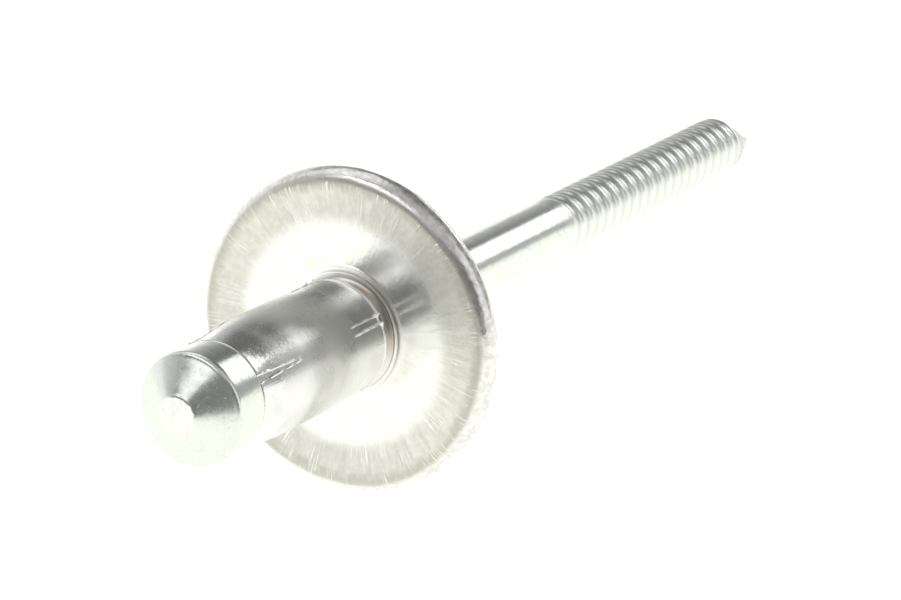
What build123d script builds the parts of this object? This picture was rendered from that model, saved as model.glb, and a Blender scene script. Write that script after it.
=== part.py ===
from build123d import *
import math
import os

os.makedirs("parts", exist_ok=True)

# ---------------------------------------------------------------- dimensions
# All in mm. The rivet is drawn along X: blind end towards -X, pulling tail
# towards +X, x = 0 on the flat inner ring of the flange's underside.

# flange
FLANGE_R = 7.00            # widest radius of the rim
RIM_BULGE_X = 0.55         # where the rim is widest
RIM_FRONT_R = 6.80         # rim radius level with the underside
LIP_R = 6.44               # outer edge of the raised lip's narrow flat land
LAND_R = 6.20              # inner edge of that land, which bears on the sheet
LIP_X = -0.20              # how far the lip stands towards the blind side
DISH_R = 4.70              # where the flat inner ring turns into the lip
RIM_BACK_R = 6.66          # where the back corner meets the dome
RIM_BACK_X = 1.00
DOME_R = 2.35              # flat top ring around the bore
DOME_X = 1.72
DOME_MID_R = 4.60
DOME_MID_X = 1.47

# neck between flange and shank
FILLET_R = 2.73            # outer end of the neck fillet on the underside
NECK_R = 2.20
NECK_FACE_X = -0.60
SHANK_EDGE_X = -0.69       # sharp edge where the shank stops short of the flange
SHANK_EDGE_R = 2.45

# shank, slightly barrelled: straight in the middle, drawn in at both ends
SHANK_R = 2.54
SHANK_STRAIGHT_0 = -4.10
SHANK_STRAIGHT_1 = -6.40
SHANK_Q_X = -2.40
SHANK_Q_R = 2.472
SHANK_T_X = -7.90
SHANK_T_R = 2.455
SHANK_TURN_X = -9.15
SHANK_TURN_R = 2.362
SHANK_END_X = -9.86        # blind end, against the mandrel head
SHANK_END_R = 2.340
BORE_R = 1.475
BORE_CHAMFER = 0.12

# slots at the flange end and nicks at the blind end
SLOT_COUNT = 4
SLOT_W = 0.31
SLOT_LEN = 2.35
SLOT_BOTTOM_R = 2.37       # slot floor at the neck; it runs out along the shank
NICK_W = 0.30
NICK_LEN = 2.75
NICK_DEPTH = 0.10

# mandrel
TIP_X = -12.69
TIP_R = 0.81
CONE_X = -11.62
CONE_R = 2.36
BAND_R = 2.335
STEM_R = 1.42
STEM_SWELL_R = 1.435       # stem radius next to the head
NOTCH_X = -9.05            # break notch
NOTCH_R = 1.02
NOTCH_HALF = 0.42
RIDGE_COUNT = 19
RIDGE_FIRST_X = 19.45
RIDGE_PITCH = 0.913
RIDGE_R = 1.45
RIDGE_ROOT_R = 1.36
TAIL_X = 36.76             # start of the point
TAIL_R = 1.335
# sections of the point, pinched off to one side: x, radius, offset from the axis
POINT = [(37.50, 1.10, 0.22), (38.50, 0.674, 0.32), (39.50, 0.244, 0.395), (40.05, 0.05, 0.437)]

# lie of the part: flange rim and tail on the ground, blind end raised
SLOT_ROLL = 57.6           # turn of the slots about the axis, degrees
POINT_ROLL = 233.6         # which way the point is pinched off


# ---------------------------------------------------------------- rivet body
def polar(x, r, deg):
    a = math.radians(deg)
    return (x, r * math.cos(a), r * math.sin(a))


with BuildPart() as body_b:
    with BuildSketch(Plane.XY):
        with BuildLine():
            # bore
            Line((SHANK_END_X, BORE_R), (DOME_X - BORE_CHAMFER, BORE_R))
            Line((DOME_X - BORE_CHAMFER, BORE_R), (DOME_X, BORE_R + BORE_CHAMFER))
            # low domed top
            Line((DOME_X, BORE_R + BORE_CHAMFER), (DOME_X, DOME_R))
            ThreePointArc((DOME_X, DOME_R), (DOME_MID_X, DOME_MID_R), (RIM_BACK_X, RIM_BACK_R))
            # rim: back corner, bulge, front corner
            ThreePointArc((RIM_BACK_X, RIM_BACK_R), (0.83, 6.895), (RIM_BULGE_X, FLANGE_R))
            ThreePointArc((RIM_BULGE_X, FLANGE_R), (0.26, 6.945), (0.0, RIM_FRONT_R))
            ThreePointArc((0.0, RIM_FRONT_R), (-0.125, 6.65), (LIP_X, LIP_R))
            # raised lip, sloping in to the flat inner ring
            Line((LIP_X, LIP_R), (LIP_X, LAND_R))
            Line((LIP_X, LAND_R), (0.0, DISH_R))
            Line((0.0, DISH_R), (0.0, FILLET_R))
            # neck fillet and undercut
            ThreePointArc((0.0, FILLET_R), (-0.13, 2.345), (-0.46, NECK_R))
            Line((-0.46, NECK_R), (NECK_FACE_X, NECK_R))
            Line((NECK_FACE_X, NECK_R), (SHANK_EDGE_X, SHANK_EDGE_R))
            # shank
            Spline(
                (SHANK_EDGE_X, SHANK_EDGE_R),
                (SHANK_Q_X, SHANK_Q_R),
                (SHANK_STRAIGHT_0, SHANK_R),
                tangents=((-1, 0), (-1, 0)),
            )
            Line((SHANK_STRAIGHT_0, SHANK_R), (SHANK_STRAIGHT_1, SHANK_R))
            Spline(
                (SHANK_STRAIGHT_1, SHANK_R),
                (SHANK_T_X, SHANK_T_R),
                (SHANK_TURN_X, SHANK_TURN_R),
                tangents=((-1, 0), (-1, -0.055)),
            )
            ThreePointArc((SHANK_TURN_X, SHANK_TURN_R), (-9.52, 2.346), (SHANK_END_X, SHANK_END_R))
            Line((SHANK_END_X, SHANK_END_R), (SHANK_END_X, BORE_R))
        make_face()
    revolve(axis=Axis.X)

body = body_b.part

# slot cutter: a shallow groove with raised edges on the real part, running out along the shank
slot_plane = Plane(origin=(0, 0, 0), x_dir=(1, 0, 0), z_dir=(0, -1, 0))
with BuildPart() as slot_b:
    with BuildSketch(slot_plane):
        with BuildLine():
            Polyline(
                (-0.45, SLOT_BOTTOM_R),
                (-0.45, 3.2),
                (SHANK_EDGE_X - SLOT_LEN, 3.2),
                (SHANK_EDGE_X - SLOT_LEN, 2.488),
                (SHANK_EDGE_X - 0.5 * SLOT_LEN, 2.385),
                (-0.45, SLOT_BOTTOM_R),
            )
        make_face()
    extrude(amount=SLOT_W / 2, both=True)

# keep the cutter out of the flange: trim it to the shank side of the neck face
slot_keep = Pos(-20.0 + NECK_FACE_X, 0, 0) * Box(40, 10, 10)
slot_cut = slot_b.part & slot_keep

# nick cutter: a narrow triangle, widest at the blind end, on a sloping floor
floor_dx = NICK_LEN
floor_dr = 0.285
floor_l = math.hypot(floor_dx, floor_dr)
nick_plane = Plane(
    origin=(SHANK_END_X - 0.05, 0, SHANK_END_R - NICK_DEPTH),
    x_dir=(floor_dx / floor_l, 0, floor_dr / floor_l),
    z_dir=(-floor_dr / floor_l, 0, floor_dx / floor_l),
)
with BuildPart() as nick_b:
    with BuildSketch(nick_plane):
        with BuildLine():
            Polyline(
                (0, -NICK_W / 2),
                (NICK_LEN, -0.02),
                (NICK_LEN, 0.02),
                (0, NICK_W / 2),
                (0, -NICK_W / 2),
            )
        make_face()
    extrude(amount=0.8)

for i in range(SLOT_COUNT):
    turn = Rot(SLOT_ROLL + i * 360.0 / SLOT_COUNT, 0, 0)
    body = body - turn * slot_cut
    body = body - turn * nick_b.part

# ---------------------------------------------------------------- mandrel
ridge_end_x = RIDGE_FIRST_X + (RIDGE_COUNT - 1) * RIDGE_PITCH
quarter = RIDGE_PITCH / 4
mid_r = (RIDGE_R + RIDGE_ROOT_R) / 2
with BuildPart() as pin_b:
    with BuildSketch(Plane.XY):
        with BuildLine():
            # head, break notch and stem; the stem swells a little towards the head
            Polyline(
                (TIP_X, 0.0),
                (TIP_X, TIP_R),
                (CONE_X - 0.05, CONE_R - 0.035),
                (CONE_X + 0.02, CONE_R),
                (SHANK_END_X - 0.10, BAND_R),
                (SHANK_END_X, BAND_R - 0.08),
                (SHANK_END_X, STEM_SWELL_R + 0.01),
                (NOTCH_X - NOTCH_HALF, STEM_SWELL_R),
                (NOTCH_X - 0.05, NOTCH_R),
                (NOTCH_X + 0.05, NOTCH_R),
                (NOTCH_X + NOTCH_HALF, STEM_SWELL_R),
                (DOME_X, STEM_R),
                (RIDGE_FIRST_X - 1.05, STEM_R),
            )
            # collar where the ridges begin
            root = RIDGE_FIRST_X - RIDGE_PITCH / 2
            ThreePointArc(
                (RIDGE_FIRST_X - 1.05, STEM_R),
                (RIDGE_FIRST_X - 0.85, STEM_R + 0.008),
                (root - quarter, mid_r),
            )
            # rounded ridges: crests and roots are equal arcs that run into each other
            for i in range(RIDGE_COUNT):
                root = RIDGE_FIRST_X + (i - 0.5) * RIDGE_PITCH
                c = root + RIDGE_PITCH / 2
                ThreePointArc((root - quarter, mid_r), (root, RIDGE_ROOT_R), (root + quarter, mid_r))
                ThreePointArc((c - quarter, mid_r), (c, RIDGE_R), (c + quarter, mid_r))
            root = RIDGE_FIRST_X + (RIDGE_COUNT - 0.5) * RIDGE_PITCH
            ThreePointArc((root - quarter, mid_r), (root, RIDGE_ROOT_R), (root + quarter, mid_r))
            # shoulder of the point
            ThreePointArc((root + quarter, mid_r), (TAIL_X - 0.10, TAIL_R + 0.040), (TAIL_X, TAIL_R))
            Polyline((TAIL_X, TAIL_R), (TAIL_X, 0.0), (TIP_X, 0.0))
        make_face()
    revolve(axis=Axis.X)

# point, pinched off to one side
with BuildPart() as point_b:
    with BuildSketch(Plane(origin=(TAIL_X, 0, 0), x_dir=(0, 1, 0), z_dir=(1, 0, 0))):
        Circle(TAIL_R)
    for px, pr, po in POINT:
        at = polar(px, po, POINT_ROLL)
        with BuildSketch(Plane(origin=at, x_dir=(0, 1, 0), z_dir=(1, 0, 0))):
            Circle(pr)
    loft(ruled=True)
pin = pin_b.part + point_b.part

# ---------------------------------------------------------------- lie on the ground
# The ground touches the rim's bulge and the tail; the tilt is found by halving.
rim_arcs = [
    ThreePointArc((RIM_BACK_X, RIM_BACK_R), (0.83, 6.895), (RIM_BULGE_X, FLANGE_R)),
    ThreePointArc((RIM_BULGE_X, FLANGE_R), (0.26, 6.945), (0.0, RIM_FRONT_R)),
]
shoulder = ThreePointArc(
    (RIDGE_FIRST_X + (RIDGE_COUNT - 0.25) * RIDGE_PITCH, mid_r), (TAIL_X - 0.10, TAIL_R + 0.040), (TAIL_X, TAIL_R)
)
RIM_LOW = [((a @ (k / 400)).X, (a @ (k / 400)).Y) for a in rim_arcs for k in range(401)]
TAIL_LOW = [(ridge_end_x, RIDGE_R)] + [((shoulder @ (k / 400)).X, (shoulder @ (k / 400)).Y) for k in range(401)]
TAIL_LOW += [(px, pr - po * math.sin(math.radians(POINT_ROLL))) for px, pr, po in POINT]


def depth(points, angle):
    return max(r * math.cos(angle) + x * math.sin(angle) for x, r in points)


lo_a, hi_a = 0.05, 0.30
for _ in range(60):
    tilt = (lo_a + hi_a) / 2
    if depth(TAIL_LOW, tilt) > depth(RIM_LOW, tilt):
        hi_a = tilt
    else:
        lo_a = tilt

lay = Rot(0, math.degrees(tilt), 0)
body = lay * body
pin = lay * pin
bb_b = body.bounding_box()
bb_p = pin.bounding_box()
x_lo = min(bb_b.min.X, bb_p.min.X)
x_hi = max(bb_b.max.X, bb_p.max.X)
y_lo = min(bb_b.min.Y, bb_p.min.Y)
y_hi = max(bb_b.max.Y, bb_p.max.Y)
z_lo = min(bb_b.min.Z, bb_p.min.Z)
move = Pos(-(x_lo + x_hi) / 2, -(y_lo + y_hi) / 2, -z_lo)
body = move * body
pin = move * pin

export_step(body, "parts/rivet_body.step")
export_step(pin, "parts/mandrel.step")
print("tilt", round(math.degrees(tilt), 4))
print("move", [round(v, 4) for v in (-(x_lo + x_hi) / 2, -(y_lo + y_hi) / 2, -z_lo)])
for nm, s in (("rivet_body", body), ("mandrel", pin)):
    b = s.bounding_box()
    print(nm, "solids", len(s.solids()), "valid", s.is_valid, "volume", round(s.volume, 2),
          [round(v, 3) for v in (b.min.X, b.min.Y, b.min.Z, b.max.X, b.max.Y, b.max.Z)])
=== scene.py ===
import math

import bmesh
import bpy
import numpy as np
from mathutils import Matrix, Vector


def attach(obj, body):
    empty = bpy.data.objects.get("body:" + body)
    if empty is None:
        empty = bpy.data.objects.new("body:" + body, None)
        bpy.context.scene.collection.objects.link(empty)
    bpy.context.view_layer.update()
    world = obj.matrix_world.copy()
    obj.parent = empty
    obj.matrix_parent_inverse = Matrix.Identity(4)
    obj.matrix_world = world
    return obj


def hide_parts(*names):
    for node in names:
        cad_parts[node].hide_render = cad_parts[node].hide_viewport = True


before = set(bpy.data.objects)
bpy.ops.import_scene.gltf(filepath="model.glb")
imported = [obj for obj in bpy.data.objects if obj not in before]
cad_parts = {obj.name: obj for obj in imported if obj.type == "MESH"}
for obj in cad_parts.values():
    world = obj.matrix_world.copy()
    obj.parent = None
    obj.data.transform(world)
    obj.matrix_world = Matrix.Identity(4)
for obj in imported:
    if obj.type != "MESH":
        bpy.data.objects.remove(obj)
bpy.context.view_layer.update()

# ------------------------------------------------------------------ the lie
# Same frame as the CAD: the rivet is drawn along X in mm (blind end -X, tail +X,
# x = 0 on the flat inner ring of the flange's underside), then tilted and moved.
TILT = math.radians(8.8075)
MOVE = (-13.4336, 0.0, 7.0038)
CT, ST = math.cos(TILT), math.sin(TILT)
SLOT_DEG = [57.6 + 90.0 * k for k in range(4)]


def to_world(x, y, z):
    """local mm arrays -> world m array (n, 3)"""
    return np.stack(
        [
            (x * CT + z * ST + MOVE[0]) * 1e-3,
            (y + MOVE[1]) * 1e-3,
            (-x * ST + z * CT + MOVE[2]) * 1e-3,
        ],
        axis=-1,
    )


# ------------------------------------------------------------------ profiles
def line(p, q, n):
    t = np.linspace(0, 1, n + 1)[:-1]
    return [(p[0] + (q[0] - p[0]) * k, p[1] + (q[1] - p[1]) * k) for k in t]


def arc3(p, q, r, n, ends=False):
    """circular arc from p through q to r"""
    ax, ay = p
    bx, by = q
    cx, cy = r
    d = 2 * (ax * (by - cy) + bx * (cy - ay) + cx * (ay - by))
    ux = ((ax**2 + ay**2) * (by - cy) + (bx**2 + by**2) * (cy - ay) + (cx**2 + cy**2) * (ay - by)) / d
    uy = ((ax**2 + ay**2) * (cx - bx) + (bx**2 + by**2) * (ax - cx) + (cx**2 + cy**2) * (bx - ax)) / d
    rad = math.hypot(ax - ux, ay - uy)
    a0 = math.atan2(ay - uy, ax - ux)
    a1 = math.atan2(by - uy, bx - ux)
    a2 = math.atan2(cy - uy, cx - ux)

    def unwrap(a, sign):
        while (a - a0) * sign < 0:
            a += sign * 2 * math.pi
        while (a - a0) * sign > 2 * math.pi:
            a -= sign * 2 * math.pi
        return a

    best = None
    for sign in (1, -1):
        b1, b2 = unwrap(a1, sign), unwrap(a2, sign)
        if (b1 - a0) * sign <= (b2 - a0) * sign:
            if best is None or abs(b2 - a0) < abs(best - a0):
                best = b2
    t = np.linspace(0, 1, n + 1)
    if not ends:
        t = t[:-1]
    return [(ux + rad * math.cos(a0 + (best - a0) * k), uy + rad * math.sin(a0 + (best - a0) * k)) for k in t]


def hermite(p, q, mp, mq, n):
    """cubic from p to q over x with slopes mp, mq (dr/dx)"""
    h = q[0] - p[0]
    out = []
    for k in np.linspace(0, 1, n + 1)[:-1]:
        a = 2 * k**3 - 3 * k**2 + 1
        b = k**3 - 2 * k**2 + k
        c = -2 * k**3 + 3 * k**2
        e = k**3 - k**2
        out.append((p[0] + h * k, a * p[1] + b * h * mp + c * q[1] + e * h * mq))
    return out


# ------------------------------------------------------------------ noise on arrays
def noise1(x, seed, scale):
    """smooth value noise on an array, -1..1"""
    g = np.random.default_rng(seed)
    table = g.random(4096) * 2 - 1
    u = np.asarray(x, float) * scale + 1000.0
    i = np.floor(u).astype(int)
    f = u - i
    f = f * f * (3 - 2 * f)
    return table[i % 4096] * (1 - f) + table[(i + 1) % 4096] * f


def round_noise(T, seed, cells):
    """smooth value noise round the axis that closes on itself, -1..1"""
    g = np.random.default_rng(seed)
    table = g.random(cells) * 2 - 1
    u = (np.asarray(T, float) % (2 * math.pi)) / (2 * math.pi) * cells
    i = np.floor(u).astype(int)
    f = u - i
    f = f * f * (3 - 2 * f)
    return table[i % cells] * (1 - f) + table[(i + 1) % cells] * f


def noise2(u, v, seed):
    """smooth value noise on a plane, -1..1"""
    g = np.random.default_rng(seed)
    table = g.random((128, 128)) * 2 - 1
    u = np.asarray(u, float) + 640.0
    v = np.asarray(v, float) + 640.0
    i, j = np.floor(u).astype(int), np.floor(v).astype(int)
    f, h = u - i, v - j
    f, h = f * f * (3 - 2 * f), h * h * (3 - 2 * h)
    i0, i1, j0, j1 = i % 128, (i + 1) % 128, j % 128, (j + 1) % 128
    a = table[i0, j0] * (1 - f) + table[i1, j0] * f
    b = table[i0, j1] * (1 - f) + table[i1, j1] * f
    return a * (1 - h) + b * h


# ------------------------------------------------------------------ mesh from a turned profile
def make_turned(name, prof, thetas, shape, closed_loop=False, poles=False, row_masks=None):
    """prof: (n, 2) array of x, r.  shape(X, R, T) -> x, y, z and a dict of per-point masks."""
    prof = np.asarray(prof, float)
    n, m = len(prof), len(thetas)
    X = np.repeat(prof[:, :1], m, axis=1)
    R = np.repeat(prof[:, 1:2], m, axis=1)
    T = np.repeat(np.asarray(thetas)[None, :], n, axis=0)
    x, y, z, masks = shape(X, R, T)
    co = to_world(x, y, z).reshape(-1, 3)
    faces = []
    rows = n if closed_loop else n - 1
    for i in range(rows):
        a, b = i * m, ((i + 1) % n) * m
        for j in range(m):
            k = (j + 1) % m
            faces.append((a + j, b + j, b + k, a + k))
    extra = []
    if poles:
        for row, flip in ((0, False), (n - 1, True)):
            p = len(co) + len(extra)
            extra.append(co[row * m : (row + 1) * m].mean(0))
            for j in range(m):
                k = (j + 1) % m
                a, b = row * m + j, row * m + k
                faces.append((p, b, a) if flip else (p, a, b))
    if extra:
        co = np.vstack([co, extra])
    me = bpy.data.meshes.new(name)
    me.from_pydata(co.tolist(), [], faces)
    ob = bpy.data.objects.new(name, me)
    bpy.context.scene.collection.objects.link(ob)
    bm = bmesh.new()
    bm.from_mesh(me)
    bmesh.ops.recalc_face_normals(bm, faces=bm.faces)
    bm.to_mesh(me)
    bm.free()
    me.polygons.foreach_set("use_smooth", np.ones(len(me.polygons), bool))
    # where each point lies round and along the turned form, for the materials
    cum = np.concatenate([[0], np.cumsum(np.hypot(*np.diff(prof, axis=0).T))])
    S = np.repeat(cum[:, None], m, axis=1)
    turn = np.stack([np.cos(T), np.sin(T), S], axis=-1).reshape(-1, 3)
    place = np.stack([X, R, S], axis=-1).reshape(-1, 3)
    if extra:
        turn = np.vstack([turn, [[0, 0, cum[0]], [0, 0, cum[-1]]]])
        place = np.vstack([place, [[prof[0, 0], 0, 0], [prof[-1, 0], 0, cum[-1]]]])
    for label, data in (("turn", turn), ("place", place)):
        at = me.attributes.new(label, "FLOAT_VECTOR", "POINT")
        at.data.foreach_set("vector", data.astype(np.float32).ravel())
    full = {k: np.repeat(np.asarray(v, float)[:, None], m, axis=1) for k, v in (row_masks or {}).items()}
    full.update(masks)
    for label, values in full.items():
        v = np.asarray(values, float)
        flat = v.ravel()
        if extra:
            flat = np.concatenate([flat, [v[0].mean(), v[-1].mean()]])
        at = me.attributes.new(label, "FLOAT", "POINT")
        at.data.foreach_set("value", flat.astype(np.float32))
    return ob


def ramp(v, a, b):
    return np.clip((v - a) / (b - a), 0, 1)


# ------------------------------------------------------------------ rivet body
body_prof = []
zone = []


def add(points, z):
    for p in points:
        body_prof.append(p)
        zone.append(z)


# zones: 0 bore, 1 shank, 2 neck, 3 flat inner ring, 4 lip, 5 rim, 6 dome, 7 blind end face
add(line((-9.86, 1.475), (-9.86, 2.300), 3), 7)
add(arc3((-9.86, 2.300), (-9.850, 2.328), (-9.82, 2.340), 4), 1)
add(hermite((-9.82, 2.340), (-9.15, 2.362), 0.010, 0.055, 12), 1)
add(hermite((-9.15, 2.362), (-7.90, 2.455), 0.055, 0.070, 22), 1)
add(hermite((-7.90, 2.455), (-6.40, 2.540), 0.070, 0.0, 16), 1)
add(line((-6.40, 2.540), (-4.10, 2.540), 10), 1)
add(hermite((-4.10, 2.540), (-2.40, 2.472), 0.0, -0.030, 18), 1)
add(hermite((-2.40, 2.472), (-0.86, 2.450), -0.030, 0.0, 24), 1)
# rolled edge with its burr, then the undercut neck
add(line((-0.86, 2.450), (-0.70, 2.450), 9), 1)
add(arc3((-0.70, 2.450), (-0.655, 2.432), (-0.64, 2.395), 5), 1)
add(line((-0.64, 2.395), (-0.60, 2.20), 6), 2)
add(line((-0.60, 2.20), (-0.46, 2.20), 3), 2)
add(arc3((-0.46, 2.20), (-0.17, 2.302), (-0.040, 2.47), 16), 2)
# tool lines where the fillet runs out: a fine raised line, then a low bead
add(arc3((-0.040, 2.47), (-0.047, 2.52), (-0.030, 2.57), 6), 2)
add(line((-0.030, 2.57), (-0.018, 2.64), 4), 2)
add(arc3((-0.018, 2.64), (-0.025, 2.76), (0.0, 2.92), 9), 2)
add(line((0.0, 2.92), (0.0, 4.55), 15), 3)
add(arc3((0.0, 4.55), (-0.004, 4.72), (-0.016, 4.90), 5), 4)
add(line((-0.016, 4.90), (-0.176, 6.12), 14), 4)
add(arc3((-0.176, 6.12), (-0.20, 6.30), (-0.196, 6.44), 6), 4)
add(arc3((-0.196, 6.44), (-0.125, 6.65), (0.0, 6.80), 12), 5)
add(arc3((0.0, 6.80), (0.26, 6.945), (0.55, 7.0), 11), 5)
add(arc3((0.55, 7.0), (0.83, 6.895), (1.0, 6.66), 12), 5)
add(arc3((1.0, 6.66), (1.47, 4.60), (1.72, 2.35), 30), 6)
add(line((1.72, 2.35), (1.72, 1.595), 6), 6)
add(line((1.72, 1.595), (1.60, 1.475), 3), 6)
add(line((1.60, 1.475), (-9.86, 1.475), 8), 0)
body_prof = np.array(body_prof)
zone = np.array(zone)

fine = np.concatenate([[-8.0, -6.6], np.arange(-5.5, 5.51, 0.5), [6.6, 8.0]])
thetas = []
for c in SLOT_DEG:
    thetas += [math.radians(c + o) for o in fine]
    thetas += [math.radians(c + o) for o in np.linspace(8.0, 82.0, 50)[1:-1]]
thetas = np.array(sorted(t % (2 * math.pi) for t in thetas))


def body_shape(X, R, T):
    X, R = X.copy(), R.copy()
    Z = np.repeat(zone[:, None], X.shape[1], axis=1)
    shank = Z == 1
    burr_mask = np.zeros_like(R)
    # the sheared edge by the neck is not quite true: small waves and a raised, uneven burr
    near = np.clip((X + 1.5) / 0.8, 0, 1) * (shank | ((Z == 2) & (X < -0.55)))
    X = X + near * (0.022 * round_noise(T, 3, 46) + 0.012 * round_noise(T, 4, 150))
    bead = np.clip((X + 0.805) / 0.10, 0, 1) * np.clip((-0.63 - X) / 0.07, 0, 1) * shank
    lift = 0.060 + 0.014 * round_noise(T, 5, 70) + 0.010 * round_noise(T, 6, 190)
    R = R + bead * np.clip(lift, 0.012, 0.08)
    burr_mask = np.maximum(burr_mask, np.clip(bead * 1.6, 0, 1))
    for n, c in enumerate(SLOT_DEG):
        off = (np.degrees(T) - c + 180.0) % 360.0 - 180.0
        w = np.radians(off) * 2.45
        # shallow slot at the flange end, running out along the shank
        half = 0.150
        depth = 0.080 * ramp(X, -3.05, -2.2)
        inside = np.clip((half + 0.018 - np.abs(w)) / 0.022, 0, 1) * (shank | ((Z == 2) & (X < -0.60)))
        R = R - inside * depth
        # burr thrown up along both edges of the slot
        side = np.abs(np.abs(w) - half - 0.035)
        length = -3.05 if n % 2 else -2.75
        run = ramp(X, length, length + 0.25) * shank
        burr = np.exp(-((side / 0.036) ** 2)) * run
        uneven = np.clip(0.028 + 0.020 * noise1(X * 1.0 + 7 * n + np.sign(w) * 3, 11 + n, 5.0), 0.006, 0.06)
        R = R + burr * uneven
        burr_mask = np.maximum(burr_mask, burr * np.clip(uneven / 0.03, 0, 1))
        corner = np.exp(-((side / 0.07) ** 2)) * np.exp(-(((X + 0.77) / 0.095) ** 2)) * shank
        R = R + corner * 0.065
        burr_mask = np.maximum(burr_mask, corner)
        # nick at the blind end, shallow, with thrown-up edges
        u = np.clip((X + 9.86) / 2.75, 0, 1)
        nh = 0.15 * (1 - u) + 0.02 * u
        nick = np.clip((nh + 0.012 - np.abs(w)) / 0.02, 0, 1) * shank * (X < -7.1)
        R = R - nick * 0.050 * (1 - u)
        nside = np.abs(np.abs(w) - nh - 0.030)
        nb = np.exp(-((nside / 0.026) ** 2)) * shank * (X < -7.0)
        nun = np.clip(0.016 + 0.024 * noise1(X + 3 * n + np.sign(w) * 5, 31 + n, 4.0), 0.0, 0.05)
        R = R + nb * nun
        burr_mask = np.maximum(burr_mask, nb * np.clip(nun / 0.03, 0, 1))
        # scuffed patch of small flecks beside the nick
        scuff = np.exp(-(((w + 0.10) / 0.34) ** 2)) * np.exp(-(((X + 8.05) / 0.62) ** 2)) * shank
        R = R + scuff * 0.003 * np.clip(noise2(w * 11.0, X * 5.0, 61 + n) - 0.15, 0, 1)
    # the pressed rim is a little uneven, all round and along its corner
    edge = ramp(R, 5.6, 6.9) * ((Z == 5) | (Z == 4) | (Z == 6))
    deg = np.degrees(T)
    top = np.exp(-((((deg - 84.0 + 180) % 360 - 180) / 20.0) ** 2))
    low = np.exp(-((((deg - 232.0 + 180) % 360 - 180) / 26.0) ** 2))
    R = R + edge * (0.050 * top + 0.010 * low + 0.014 * round_noise(T, 21, 17) + 0.008 * round_noise(T, 22, 61))
    corner = np.exp(-(((X + 0.09) / 0.16) ** 2)) * (Z == 5)
    R = R + corner * (0.020 * round_noise(T, 23, 34) + 0.012 * round_noise(T, 24, 120))
    # fine pitting of the rim as real relief, as far as the mesh carries it
    rimz = (Z == 5) * ramp(X, -0.15, 0.0)
    R = R + rimz * 0.005 * noise2(T * 30.0, X * 6.5, 71)
    lipz = (Z == 4) | ((Z == 3) & (R > 4.3))
    X = X + lipz * 0.006 * round_noise(T, 25, 40) * ramp(R, 4.6, 5.6)
    # never below the ground: the lowest arc of the rim keeps its true radius
    keep = np.exp(-((((deg - 270.0 + 180) % 360 - 180) / 12.0) ** 2)) * edge
    base = np.repeat(body_prof[:, 1:2], X.shape[1], axis=1)
    R = R * (1 - keep) + np.minimum(R, base) * keep
    return X, R * np.cos(T), R * np.sin(T), {"burr": burr_mask}


px, pr = body_prof[:, 0], body_prof[:, 1]
under = (zone == 3) | (zone == 4)
body = make_turned(
    "rivet_body_form",
    body_prof,
    thetas,
    body_shape,
    closed_loop=True,
    row_masks={
        "under": np.where(under, 1.0, np.where((zone == 5) & (px < 0.0), ramp(-px, 0.05, 0.17), 0.0)),
        "rim": np.where(zone == 5, ramp(px, -0.18, -0.02), np.where(zone == 6, ramp(pr, 6.0, 6.6), 0.0)),
        "neck": np.where(zone == 2, 1.0, 0.0),
        "shank": np.where(zone == 1, 1.0, 0.0),
        "drawn_end": np.where(zone == 1, ramp(-px, 8.2, 8.7), 0.0),
    },
)

# ------------------------------------------------------------------ mandrel
pin_prof = []
pin_zone = []


def padd(points, z):
    for p in points:
        pin_prof.append(p)
        pin_zone.append(z)


# zones: 0 tip, 1 cone, 2 band, 3 hidden, 4 stem, 5 ridges, 6 point
padd(line((-12.69, 0.05), (-12.69, 0.70), 9), 0)
padd(arc3((-12.69, 0.70), (-12.672, 0.80), (-12.61, 0.90), 6), 0)
padd(line((-12.61, 0.90), (-11.74, 2.20), 22), 1)
padd(arc3((-11.74, 2.20), (-11.645, 2.318), (-11.52, 2.357), 9), 1)
padd(line((-11.52, 2.357), (-9.94, 2.335), 26), 2)
padd(arc3((-9.94, 2.335), (-9.885, 2.315), (-9.86, 2.26), 5), 2)
padd(line((-9.86, 2.26), (-9.86, 1.445), 3), 3)
padd(line((-9.86, 1.445), (-9.47, 1.435), 2), 3)
padd(line((-9.47, 1.435), (-9.10, 1.02), 2), 3)
padd(line((-9.10, 1.02), (-9.0, 1.02), 1), 3)
padd(line((-9.0, 1.02), (-8.63, 1.435), 2), 3)
padd(line((-8.63, 1.435), (1.72, 1.42), 6), 3)
padd(line((1.72, 1.42), (18.40, 1.42), 24), 4)

# rounded ridges: equal arcs for crest and root, a low collar before the first root
FIRST, PITCH, COUNT, CREST, ROOT = 19.45, 0.913, 19, 1.45, 1.36
QUART, MID = PITCH / 4, (CREST + ROOT) / 2
padd(arc3((18.40, 1.42), (18.60, 1.428), (FIRST - 0.75 * PITCH, MID), 7), 5)
for i in range(COUNT + 1):
    root = FIRST + (i - 0.5) * PITCH
    padd(arc3((root - QUART, MID), (root, ROOT), (root + QUART, MID), 8), 5)
    if i < COUNT:
        c = root + PITCH / 2
        padd(arc3((c - QUART, MID), (c, CREST), (c + QUART, MID), 8), 5)
padd(arc3((FIRST + (COUNT - 0.25) * PITCH, MID), (36.66, 1.375), (36.76, 1.335), 6), 6)

# pinched-off point: x, radius, offset from the axis
SECT = np.array([(36.76, 1.335, 0.0), (37.50, 1.10, 0.22), (38.50, 0.674, 0.32), (39.50, 0.244, 0.395), (40.05, 0.05, 0.437)])
for a, b, n in zip(SECT[:-1], SECT[1:], (12, 14, 9, 5)):
    padd(line(a[:2], b[:2], n), 6)
padd([(40.05, 0.05)], 6)
pin_prof = np.array(pin_prof)
pin_zone = np.array(pin_zone)


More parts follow.
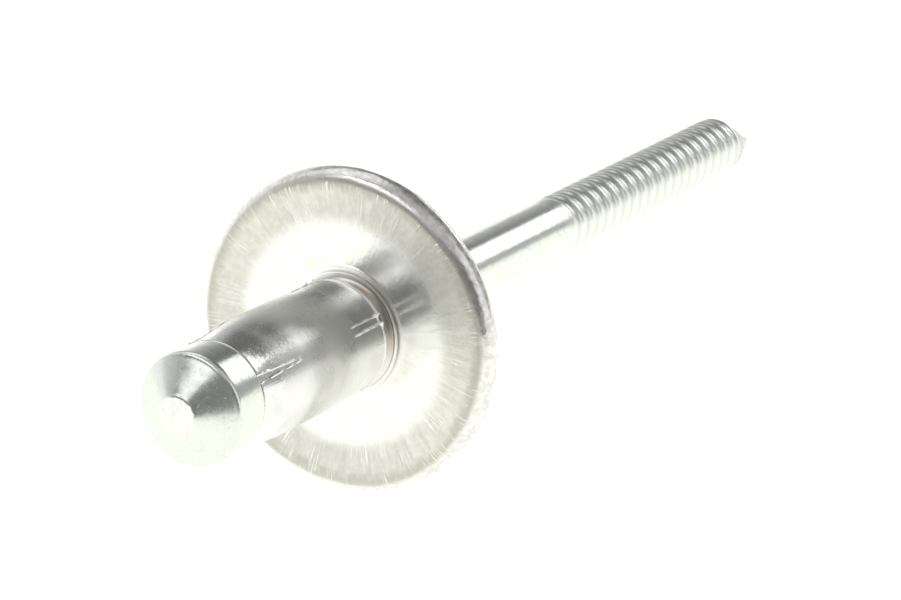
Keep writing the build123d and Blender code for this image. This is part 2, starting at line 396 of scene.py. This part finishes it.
def pin_shape(X, R, T):
    X, R = X.copy(), R.copy()
    Z = np.repeat(pin_zone[:, None], X.shape[1], axis=1)
    # rolled ridges are not perfectly even
    ridg = Z == 5
    R = R + ridg * 0.005 * round_noise(T, 81, 9) * noise1(X, 82, 1.1)
    # the last ridges run out on the point
    fade = np.clip((38.5 - X) / 1.7, 0, 1) * ramp(X, 36.76, 37.0) * (Z == 6)
    R = R + fade * 0.030 * (np.cos(2 * math.pi * (X - FIRST) / PITCH) - 0.5)
    # the point leans to the side it was pinched off
    y, z = R * np.cos(T), R * np.sin(T)
    off = np.interp(X, SECT[:, 0], SECT[:, 2])
    a = math.radians(233.6)
    y = y + off * math.cos(a)
    z = z + off * math.sin(a)
    # the flat of the head's tip is left rough by the cut
    tip = (Z == 0) * ramp(-X, 12.64, 12.685)
    rough = 0.016 * noise2(y * 3.2 + 3, z * 3.2, 51) + 0.012 * noise2(y * 7.5, z * 7.5 + 9, 52)
    X = X + tip * (rough + 0.012)
    cone = (Z == 1) | (Z == 0)
    dent = cone * 0.006 * noise2(y * 1.4, z * 1.4, 53) * ramp(R, 0.7, 1.2)
    y, z = y * (1 + dent / np.maximum(R, 0.3)), z * (1 + dent / np.maximum(R, 0.3))
    return X, y, z, {}


pin_thetas = np.linspace(0, 2 * math.pi, 145)[:-1]
mandrel = make_turned(
    "mandrel_form",
    pin_prof,
    pin_thetas,
    pin_shape,
    poles=True,
    row_masks={
        "tip": np.where(pin_zone == 0, 1.0, 0.0),
        "cone": np.where(pin_zone == 1, 1.0, 0.0),
        "band": np.where(pin_zone == 2, 1.0, 0.0),
        "stem": np.where(pin_zone == 4, 1.0, 0.0),
        "ridged": np.where((pin_zone == 5) | (pin_zone == 6), 1.0, 0.0),
        # root: mask for painted shade in the grooves between the ridges, strongest deepest in the roots
        "root": np.where(pin_zone == 5, ramp(CREST - pin_prof[:, 1], 0.045, 0.085), 0.0),
        "point": np.where(pin_zone == 6, ramp(pin_prof[:, 0], 36.72, 36.95), 0.0),
    },
)

for piece, node, slot in ((body, "rivet_body", "rivet_aluminium"), (mandrel, "mandrel", "plated_steel")):
    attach(piece, "root")
    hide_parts(node)


# ------------------------------------------------------------------ material helpers
class Nodes:
    def __init__(self, name):
        self.mat = bpy.data.materials.new(name)
        self.mat.use_nodes = True
        self.t = self.mat.node_tree
        self.bsdf = self.t.nodes["Principled BSDF"]

    def _set(self, sock, v):
        if hasattr(v, "is_linked"):
            self.t.links.new(v, sock)
        elif isinstance(v, (int, float)):
            sock.default_value = (v, v, v, 1) if sock.type == "RGBA" else v
        else:
            sock.default_value = tuple(v) + ((1,) if sock.type == "RGBA" and len(v) == 3 else ())

    def attr(self, name, vec=False):
        n = self.t.nodes.new("ShaderNodeAttribute")
        n.attribute_name = name
        return n.outputs["Vector" if vec else "Fac"]

    def split(self, vec):
        n = self.t.nodes.new("ShaderNodeSeparateXYZ")
        self.t.links.new(vec, n.inputs[0])
        return n.outputs

    def math(self, op, a, b=None, c=None, clamp=False):
        n = self.t.nodes.new("ShaderNodeMath")
        n.operation = op
        n.use_clamp = clamp
        for i, v in enumerate((a, b, c)):
            if v is not None:
                self._set(n.inputs[i], v)
        return n.outputs[0]

    def vmul(self, vec, by):
        n = self.t.nodes.new("ShaderNodeVectorMath")
        n.operation = "MULTIPLY"
        self.t.links.new(vec, n.inputs[0])
        n.inputs[1].default_value = by
        return n.outputs[0]

    def noise(self, vec, scale, detail=3.0, rough=0.55, distortion=0.0):
        n = self.t.nodes.new("ShaderNodeTexNoise")
        n.noise_dimensions = "3D"
        self.t.links.new(vec, n.inputs["Vector"])
        n.inputs["Scale"].default_value = scale
        n.inputs["Detail"].default_value = detail
        n.inputs["Roughness"].default_value = rough
        n.inputs["Distortion"].default_value = distortion
        return n.outputs["Fac"]

    def cracks(self, vec, scale):
        n = self.t.nodes.new("ShaderNodeTexVoronoi")
        n.feature = "DISTANCE_TO_EDGE"
        self.t.links.new(vec, n.inputs["Vector"])
        n.inputs["Scale"].default_value = scale
        return n.outputs["Distance"]

    def step(self, v, a, b, lo=0.0, hi=1.0):
        """smooth step of v from a to b, mapped to lo..hi"""
        n = self.t.nodes.new("ShaderNodeMapRange")
        n.interpolation_type = "SMOOTHSTEP"
        self.t.links.new(v, n.inputs["Value"])
        for k, q in (("From Min", a), ("From Max", b), ("To Min", lo), ("To Max", hi)):
            n.inputs[k].default_value = q
        return n.outputs["Result"]

    def mul(self, *vals):
        out = vals[0]
        for v in vals[1:]:
            out = self.math("MULTIPLY", out, v)
        return out

    def mix(self, fac, a, b):
        n = self.t.nodes.new("ShaderNodeMix")
        n.data_type = "RGBA"
        for sock, v in ((n.inputs[0], fac), (n.inputs[6], a), (n.inputs[7], b)):
            self._set(sock, v)
        return n.outputs[2]

    def mixf(self, fac, a, b):
        n = self.t.nodes.new("ShaderNodeMix")
        n.data_type = "FLOAT"
        for sock, v in ((n.inputs[0], fac), (n.inputs[2], a), (n.inputs[3], b)):
            self._set(sock, v)
        return n.outputs[0]

    def bump(self, height, distance, normal=None, strength=1.0):
        n = self.t.nodes.new("ShaderNodeBump")
        n.inputs["Strength"].default_value = strength
        n.inputs["Distance"].default_value = distance
        self.t.links.new(height, n.inputs["Height"])
        if normal is not None:
            self.t.links.new(normal, n.inputs["Normal"])
        return n.outputs["Normal"]

    def link(self, out, name):
        self.t.links.new(out, self.bsdf.inputs[name])


MM = 0.001

# ------------------------------------------------------------------ aluminium
A = Nodes("rivet_aluminium_look")
A.bsdf.inputs["Metallic"].default_value = 1.0
turn = A.attr("turn", True)
sx, sr, ss = A.split(A.attr("place", True))
under_m, rim_m, neck_m, shank_m, dend_m, burr_m = (A.attr(k) for k in ("under", "rim", "neck", "shank", "drawn_end", "burr"))
mm = A.vmul(A.t.nodes.new("ShaderNodeTexCoord").outputs["Object"], (1000.0, 1000.0, 1000.0))

streak_broad = A.noise(A.vmul(turn, (16.0, 16.0, 0.30)), 1.0, 3.0, 0.6)
streak = A.noise(A.vmul(turn, (46.0, 46.0, 0.55)), 1.0, 3.0, 0.6)
streak_fine = A.noise(A.vmul(turn, (150.0, 150.0, 0.75)), 1.0, 2.0, 0.5)
patches = A.noise(A.vmul(turn, (9.0, 9.0, 0.9)), 1.0, 2.0, 0.5)
cloud = A.noise(mm, 0.55, 3.0, 0.5)
mottle = A.noise(mm, 1.5, 1.0, 0.45)
fleck = A.noise(mm, 5.0, 1.0, 0.5)
grain = A.noise(mm, 4.2, 1.0, 0.5)
pits = A.noise(A.vmul(turn, (15.0, 15.0, 4.0)), 1.0, 1.0, 0.5)
haze = A.noise(mm, 0.8, 1.0, 0.5)
draw = A.noise(A.vmul(turn, (34.0, 34.0, 0.30)), 1.0, 3.0, 0.55)

# outer ring of the underside, with a ragged inner edge where the streaks run out
ragged = A.math("ADD", sr, A.mul(A.math("SUBTRACT", streak, 0.5), 0.8))
lip = A.mul(A.step(ragged, 4.40, 5.30), under_m)
lines = A.mul(A.step(streak_fine, 0.575, 0.65), A.step(patches, 0.40, 0.60), A.step(sr, 4.3, 5.0), under_m)
border = A.mul(A.step(A.math("ADD", sr, A.mul(A.math("SUBTRACT", streak_broad, 0.5), 0.9)), 6.05, 6.45), under_m)

base = A.mix(cloud, (0.92, 0.925, 0.885), (0.985, 0.985, 0.965))
stain = A.mul(A.step(cloud, 0.52, 0.66), A.step(sr, 4.4, 3.1), under_m)
base = A.mix(A.mul(stain, 0.6), base, (0.80, 0.775, 0.665))
field = A.mix(A.step(streak_broad, 0.25, 0.75), (0.715, 0.715, 0.65), (0.83, 0.83, 0.77))
field = A.mix(A.mul(A.step(fleck, 0.44, 0.66), 0.3), field, (0.93, 0.93, 0.87))
base = A.mix(A.mul(A.step(streak_broad, 0.48, 0.72), under_m, 0.45), base, (0.80, 0.80, 0.74))
base = A.mix(lip, base, field)
base = A.mix(A.mul(border, 0.70), base, (0.53, 0.515, 0.44))
base = A.mix(A.mul(lines, 0.85), base, (0.955, 0.955, 0.92))
smoky = A.mix(A.step(haze, 0.2, 0.8), (0.78, 0.79, 0.78), (0.92, 0.92, 0.895))
base = A.mix(shank_m, base, smoky)
rim_col = A.mix(A.step(grain, 0.38, 0.60), (0.78, 0.76, 0.72), (0.91, 0.91, 0.89))
base = A.mix(rim_m, base, rim_col)
tx, ty, ts = A.split(turn)
# painted shade: the undercut neck gets a brown tint that is darkened and strongest on one side round the axis,
# standing in for the shade in the recess
shade_side = A.math("ADD", A.mul(tx, -0.805), A.mul(ty, 0.593))
neck_brown_and_shade = A.mul(A.step(sr, 2.56, 2.40), neck_m, A.step(shade_side, 0.50, 0.90, 0.32, 1.0))
base = A.mix(A.mul(neck_brown_and_shade, 0.85), base, (0.48, 0.43, 0.35))
base = A.mix(burr_m, base, (0.99, 0.99, 0.98))
A.link(base, "Base Color")

rough = A.step(cloud, 0.3, 0.7, 0.16, 0.23)
rough = A.mixf(shank_m, rough, A.step(haze, 0.3, 0.7, 0.24, 0.31))
rough = A.mixf(neck_m, rough, 0.33)
rough = A.mixf(dend_m, rough, 0.16)
rough = A.mixf(lip, rough, A.step(streak, 0.3, 0.7, 0.52, 0.42))
rough = A.mixf(lines, rough, 0.26)
rough = A.mixf(rim_m, rough, A.step(pits, 0.35, 0.65, 0.34, 0.24))
dots = A.mul(A.step(A.noise(mm, 7.5, 0.0, 0.5), 0.71, 0.78), A.step(haze, 0.35, 0.6), shank_m)
rough = A.mixf(dots, rough, 0.50)
rough = A.mixf(burr_m, rough, 0.34)
A.link(rough, "Roughness")

n1 = A.bump(A.mul(streak_fine, A.step(sr, 4.0, 5.0), under_m), 0.006 * MM)
n2 = A.bump(A.mul(pits, rim_m), 0.015 * MM, n1)
n3 = A.bump(A.mul(draw, shank_m), 0.0030 * MM, n2)
n4 = A.bump(A.mul(haze, shank_m), 0.003 * MM, n3)
n5 = A.bump(A.mul(mottle, under_m), 0.008 * MM, n4)
n6 = A.bump(fleck, 0.0036 * MM, n5)
A.link(n6, "Normal")
body.data.materials.append(A.mat)

# ------------------------------------------------------------------ plated steel
Z = Nodes("plated_steel_look")
Z.bsdf.inputs["Metallic"].default_value = 1.0
turn = Z.attr("turn", True)
tip_m, cone_m, band_m, stem_m, ridge_m, root_shade_m, point_m = (Z.attr(k) for k in ("tip", "cone", "band", "stem", "ridged", "root", "point"))
mm = Z.vmul(Z.t.nodes.new("ShaderNodeTexCoord").outputs["Object"], (1000.0, 1000.0, 1000.0))
tint = Z.noise(mm, 0.45, 2.0, 0.5)
tint2 = Z.noise(mm, 1.3, 1.0, 0.5)
speck = Z.noise(mm, 4.2, 1.0, 0.5)
crack = Z.cracks(mm, 2.4)
col = Z.mix(tint, (0.84, 0.89, 0.86), (0.885, 0.91, 0.83))
col = Z.mix(Z.mul(Z.step(tint2, 0.5, 0.7), 0.5), col, (0.85, 0.88, 0.90))
dull = Z.mul(Z.step(speck, 0.56, 0.70), stem_m, 0.35)
col = Z.mix(dull, col, (0.70, 0.76, 0.72))
net = Z.mul(Z.step(crack, 0.035, 0.0), Z.step(tint2, 0.45, 0.6), 0.35)
col = Z.mix(net, col, (0.66, 0.73, 0.68))
r = Z.step(speck, 0.3, 0.7, 0.17, 0.23)
r = Z.mixf(cone_m, r, Z.step(speck, 0.3, 0.7, 0.23, 0.285))
col = Z.mix(Z.mul(Z.math("ADD", cone_m, band_m), 0.45), col, (0.775, 0.82, 0.76))
scratch = Z.mul(Z.step(Z.cracks(Z.vmul(mm, (1.0, 1.0, 0.45)), 1.7), 0.06, 0.0), Z.step(tint2, 0.35, 0.6))
end = Z.mix(Z.mul(scratch, 0.8), (0.87, 0.90, 0.84), (0.70, 0.75, 0.68))
col = Z.mix(Z.mul(scratch, cone_m, 0.3), col, (0.68, 0.74, 0.67))
col = Z.mix(Z.mul(tip_m, 0.9), col, end)
col = Z.mix(Z.mul(ridge_m, 0.6), col, (0.945, 0.955, 0.91))
# painted shade: the ridge roots are darkened, standing in for the shade in the grooves between the ridges
col = Z.mix(Z.mul(root_shade_m, 0.5), col, (0.66, 0.685, 0.645))
col = Z.mix(Z.mul(point_m, 0.85), col, (0.70, 0.74, 0.685))
Z.link(col, "Base Color")
r = Z.mixf(tip_m, r, 0.27)
r = Z.mixf(stem_m, r, Z.step(speck, 0.3, 0.7, 0.21, 0.27))
r = Z.mixf(ridge_m, r, Z.step(speck, 0.3, 0.7, 0.32, 0.38))
dots = Z.mul(Z.step(Z.noise(mm, 7.0, 0.0, 0.5), 0.71, 0.78), cone_m)
r = Z.mixf(dots, r, 0.45)
r = Z.mixf(point_m, r, 0.42)
Z.link(r, "Roughness")
# fine turned lines round the band, draw marks along the stem
rings = Z.noise(Z.vmul(turn, (0.5, 0.5, 16.0)), 1.0, 2.0, 0.5)
drawn = Z.noise(Z.vmul(turn, (26.0, 26.0, 0.22)), 1.0, 3.0, 0.55)
m1 = Z.bump(Z.mul(rings, band_m), 0.004 * MM)
m2 = Z.bump(Z.mul(drawn, stem_m), 0.0025 * MM, m1)
m3 = Z.bump(Z.mul(speck, Z.math("ADD", stem_m, Z.mul(cone_m, 0.6))), 0.0014 * MM, m2)
m4 = Z.bump(tint2, 0.012 * MM, m3)
m5 = Z.bump(Z.mul(Z.noise(mm, 3.0, 1.0, 0.5), tip_m), 0.012 * MM, m4)
Z.link(m5, "Normal")
mandrel.data.materials.append(Z.mat)

# ------------------------------------------------------------------ floor, light, camera
fm = Nodes("floor_white")
ftex = fm.noise(fm.t.nodes.new("ShaderNodeTexCoord").outputs["Object"], 3.0, 2.0)
fm.link(fm.mix(ftex, (0.14, 0.14, 0.14), (0.16, 0.16, 0.16)), "Base Color")
fm.bsdf.inputs["Roughness"].default_value = 0.9
fm.bsdf.inputs["Specular IOR Level"].default_value = 0.0
fm.bsdf.inputs["Emission Color"].default_value = (1.0, 1.0, 0.945, 1)
fm.bsdf.inputs["Emission Strength"].default_value = 1.08
bpy.ops.mesh.primitive_plane_add(size=8.0, location=(0, 0, 0))
floor = bpy.context.object
floor.name = "floor"
floor.data.materials.append(fm.mat)

world = bpy.data.worlds.new("studio")
bpy.context.scene.world = world
world.use_nodes = True
wt = world.node_tree
bg = wt.nodes["Background"]
bg.inputs["Color"].default_value = (0.12, 0.12, 0.12, 1)
bg.inputs["Strength"].default_value = 1.0
bg2 = wt.nodes.new("ShaderNodeBackground")
bg2.inputs["Color"].default_value = (1, 1, 1, 1)
bg2.inputs["Strength"].default_value = 1.0
lp = wt.nodes.new("ShaderNodeLightPath")
mx = wt.nodes.new("ShaderNodeMixShader")
wt.links.new(lp.outputs["Is Camera Ray"], mx.inputs["Fac"])
wt.links.new(bg.outputs[0], mx.inputs[1])
wt.links.new(bg2.outputs[0], mx.inputs[2])
wt.links.new(mx.outputs[0], wt.nodes["World Output"].inputs["Surface"])


def softbox(name, az, el, dist, wide, high, radiance, color=(1, 1, 1)):
    """rectangular light; az from +X towards +Y, el above the floor, sizes in degrees seen from the part"""
    a, e = math.radians(az), math.radians(el)
    d = Vector((math.cos(e) * math.cos(a), math.cos(e) * math.sin(a), math.sin(e)))
    data = bpy.data.lights.new(name, "AREA")
    data.shape = "RECTANGLE"
    data.size = 2 * dist * math.tan(math.radians(wide / 2))
    data.size_y = 2 * dist * math.tan(math.radians(high / 2))
    data.energy = radiance * math.pi * data.size * data.size_y
    data.color = color
    ob = bpy.data.objects.new(name, data)
    bpy.context.scene.collection.objects.link(ob)
    ob.location = d * dist + Vector((-0.008, 0, 0.006))
    ob.rotation_euler = d.to_track_quat("Z", "Y").to_euler()
    return ob


softbox("back_box", -12.0, 20.0, 0.9, 27.0, 19.0, 1.8)
softbox("front_box", 150.0, 55.0, 0.9, 46.0, 20.0, 1.5)

# light tent: plain soft panels on the inside of a half dome
# az from, az to, el from, el to, brightness, softness of the edge (degrees)
DIM = 0.16
PANELS = [
    (46, 138, -20, 19, 1.02, 12),  # left wall
    (28, 152, -20, 5, 0.95, 8),  # and a pale band along the ground
    (130, 174, -20, 9, 1.60, 8),
    (62, 100, 10, 66, 0.80, 18),  # its upper part
    (20, 90, 42, 72, 1.15, 14),
    (38, 70, 30, 72, 0.90, 14),
    (98, 130, 8, 36, 0.55, 12),
    (8, 50, -20, 18, 0.48, 12),
    (124, 152, -20, 14, 0.75, 12),
    (-94, -58, -20, 50, 0.95, 12),  # right wall
    (-48, -22, -20, 27, 0.40, 10),  # spill beside the back box
    (-190, -132, -20, 42, 0.20, 14),
    (-165, -40, 46, 78, 0.52, 14),  # upper right
    (-180, 180, 72, 110, 0.45, 14),  # top
]


def soft(v, width):
    t = np.clip(v / width + 0.5, 0, 1)
    return t * t * (3 - 2 * t)


AZ, EL = np.meshgrid(np.arange(-180.0, 180.0, 2.5), np.linspace(-1.0, 89.0, 37), indexing="ij")
glow = np.full(AZ.shape, DIM)
for a0, a1, e0, e1, level, edge in PANELS:
    away = np.abs((AZ - (a0 + a1) / 2 + 180.0) % 360.0 - 180.0)
    inside = soft((a1 - a0) / 2 - away, edge) if a1 - a0 < 360 else 1.0
    glow = np.maximum(glow, DIM + (level - DIM) * inside * soft(EL - e0, edge) * soft(e1 - EL, edge))
ra, re = np.radians(AZ), np.radians(EL)
tent_co = 1.2 * np.stack([np.cos(re) * np.cos(ra), np.cos(re) * np.sin(ra), np.sin(re)], axis=-1)
na, ne = AZ.shape
tent_faces = [
    (i * ne + j, ((i + 1) % na) * ne + j, ((i + 1) % na) * ne + j + 1, i * ne + j + 1)
    for i in range(na)
    for j in range(ne - 1)
]
tent_mesh = bpy.data.meshes.new("light_tent")
tent_mesh.from_pydata(tent_co.reshape(-1, 3).tolist(), [], tent_faces)
tent = bpy.data.objects.new("light_tent", tent_mesh)
bpy.context.scene.collection.objects.link(tent)
tent.visible_camera = False
at = tent_mesh.attributes.new("glow", "FLOAT", "POINT")
at.data.foreach_set("value", glow.ravel().astype(np.float32))
tent_mat = bpy.data.materials.new("light_tent_cloth")
tent_mat.use_nodes = True
tt = tent_mat.node_tree
tt.nodes.clear()
t_attr = tt.nodes.new("ShaderNodeAttribute")
t_attr.attribute_name = "glow"
t_emit = tt.nodes.new("ShaderNodeEmission")
t_out = tt.nodes.new("ShaderNodeOutputMaterial")
tt.links.new(t_attr.outputs["Fac"], t_emit.inputs["Strength"])
tt.links.new(t_emit.outputs[0], t_out.inputs["Surface"])
tent_mesh.materials.append(tent_mat)

# camera, set in the rivet's own axes and carried over with its lie
cam_data = bpy.data.cameras.new("camera")
cam = bpy.data.objects.new("camera", cam_data)
bpy.context.scene.collection.objects.link(cam)
cam_data.sensor_fit = "HORIZONTAL"
cam_data.sensor_width = 36.0
cam_data.lens = 3500.0 / 901.0 * 36.0
cam_data.clip_start = 0.005
cam_data.clip_end = 50.0
lie = Matrix(((CT, 0, ST), (0, 1, 0), (-ST, 0, CT)))
axes = Matrix(
    (
        (0.48628659120227735, 0.2501834942373782, -0.8372177556813072),
        (-0.870708390078687, 0.21925883183696124, -0.44021865488422024),
        (0.07343194579643314, 0.9430449532618617, 0.32445949741667723),
    )
)
spot = (lie @ Vector((-119.91777952972318, -67.98738668, 49.07783857133623)) + Vector(MOVE)) * 0.001
cam.matrix_world = Matrix.Translation(spot) @ (lie @ axes).to_4x4()
bpy.context.scene.camera = cam
bpy.context.scene.view_settings.view_transform = "Standard"
bpy.context.scene.view_settings.look = "None"
bpy.context.scene.view_settings.exposure = 0.0

bpy.context.view_layer.update()
